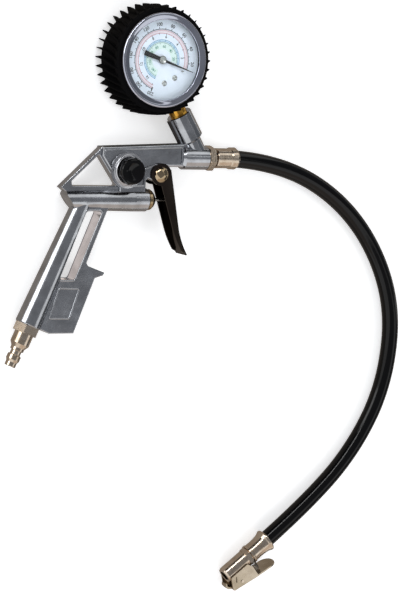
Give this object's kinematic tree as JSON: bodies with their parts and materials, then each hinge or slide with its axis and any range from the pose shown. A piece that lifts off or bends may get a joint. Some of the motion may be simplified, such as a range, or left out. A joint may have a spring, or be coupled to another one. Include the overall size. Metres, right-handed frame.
{
  "type": "tire inflator gauge",
  "caption": "Cast pistol-grip tire inflator with a booted dial gauge, hinged trigger, bleed button, inlet plug and a short hose ending in a clip-on chuck.",
  "frame": {"origin": "gauge axis at the flat back of the rubber boot, which the object rests on", "axes": "+Z out of the dial, +Y to the top of the gun, +X to the muzzle where the hose leaves"},
  "size_m": [0.3467, 0.4461, 0.0327],
  "materials": {
    "cast": "polished",
    "nickel": "bright nickel plate",
    "chrome": "bright chrome plate",
    "collar": "turned",
    "knob": "moulded",
    "rubber": "matt moulded",
    "hose_rubber": "smooth gloss",
    "seal": "moulded",
    "spring_steel": "drawn wire",
    "steel": "turned",
    "case_steel": "enamel",
    "brass": "turned",
    "hairspring_bronze": "rolled strip",
    "dial_white": "printed enamel",
    "pointer_black": "enamel",
    "glass": "clear"
  },
  "bodies": {
    "gun": {"bezel": "chrome", "bleed_collar": "collar", "bleed_spring": "spring_steel", "bourdon_tube": "brass", "case_screws": "steel", "chuck_body": "nickel", "chuck_ferrule": "nickel", "chuck_opener": "brass", "chuck_pin": "nickel", "chuck_seal": "seal", "chuck_spring": "spring_steel", "dial": "dial_white", "dial_screws": "steel", "front_ferrule": "nickel", "gauge_boot": "rubber", "gauge_case": "case_steel", "gland_ring": "seal", "gun_body": "cast", "hairspring": "hairspring_bronze", "hose": "hose_rubber", "hose_fitting": "nickel", "inlet_plug": "nickel", "lens": "glass", "movement_plate_high": "brass", "movement_plate_low": "brass", "pillars": "brass", "stem_socket": "brass", "trigger_pin": "chrome", "valve_nut": "chrome", "valve_spring": "spring_steel"},
    "trigger": {"trigger": "chrome"},
    "valve": {"valve_stem": "steel", "valve_seal": "seal"},
    "bleed": {"bleed_button": "knob", "bleed_stem": "steel", "bleed_seal": "seal"},
    "sector": {"sector_gear": "brass"},
    "pointer": {"pointer": "pointer_black", "pointer_cap": "brass", "pinion": "brass"},
    "link": {"link": "brass", "tube_end": "brass"},
    "chuck_lever": {"chuck_lever": "nickel"}
  },
  "joints": [
    {"name": "trigger_pull", "type": "hinge", "parent": "gun", "child": "trigger", "pos_m": [0.0088, -0.0829, 0.012], "axis": [0, 0, -1], "range_deg": [0, 12], "stiffness_Nm_per_rad": 0.7, "springref_deg": -22.92},
    {"name": "valve_push", "type": "slide", "parent": "gun", "child": "valve", "axis": [-1, 0, 0], "range_m": [0, 0.0043], "deforming": ["valve_spring"]},
    {"name": "bleed_press", "type": "slide", "parent": "gun", "child": "bleed", "axis": [0, 0, -1], "range_m": [0, 0.0025], "stiffness_N_per_m": 800, "springref_m": -0.003, "deforming": ["bleed_spring"]},
    {"name": "link_pull", "type": "slide", "parent": "gun", "child": "link", "axis": [-0.766, 0.6428, 0], "range_m": [0, 0.00362], "stiffness_N_per_m": 200, "springref_m": -0.0002, "deforming": ["bourdon_tube"]},
    {"name": "sector_turn", "type": "hinge", "parent": "gun", "child": "sector", "pos_m": [-0.0116, -0.01382, 0.0202], "axis": [0, 0, -1], "range_deg": [0, 30]},
    {"name": "pointer_turn", "type": "hinge", "parent": "gun", "child": "pointer", "pos_m": [0, 0, 0.0202], "axis": [0, 0, 1], "range_deg": [0, 270.5], "deforming": ["hairspring"]},
    {"name": "chuck_press", "type": "hinge", "parent": "gun", "child": "chuck_lever", "pos_m": [0.09923, -0.39934, 0.0095], "axis": [0, 0, 1], "range_deg": [0, 15], "stiffness_Nm_per_rad": 0.3, "springref_deg": -22.92, "deforming": ["chuck_spring"]}
  ],
  "couplings": [
    {"joint": "valve_push", "follows": "trigger_pull", "m_per_rad": 0.0203},
    {"joint": "sector_turn", "follows": "link_pull", "rad_per_m": 144.51},
    {"joint": "pointer_turn", "follows": "link_pull", "rad_per_m": 1300.5}
  ]
}
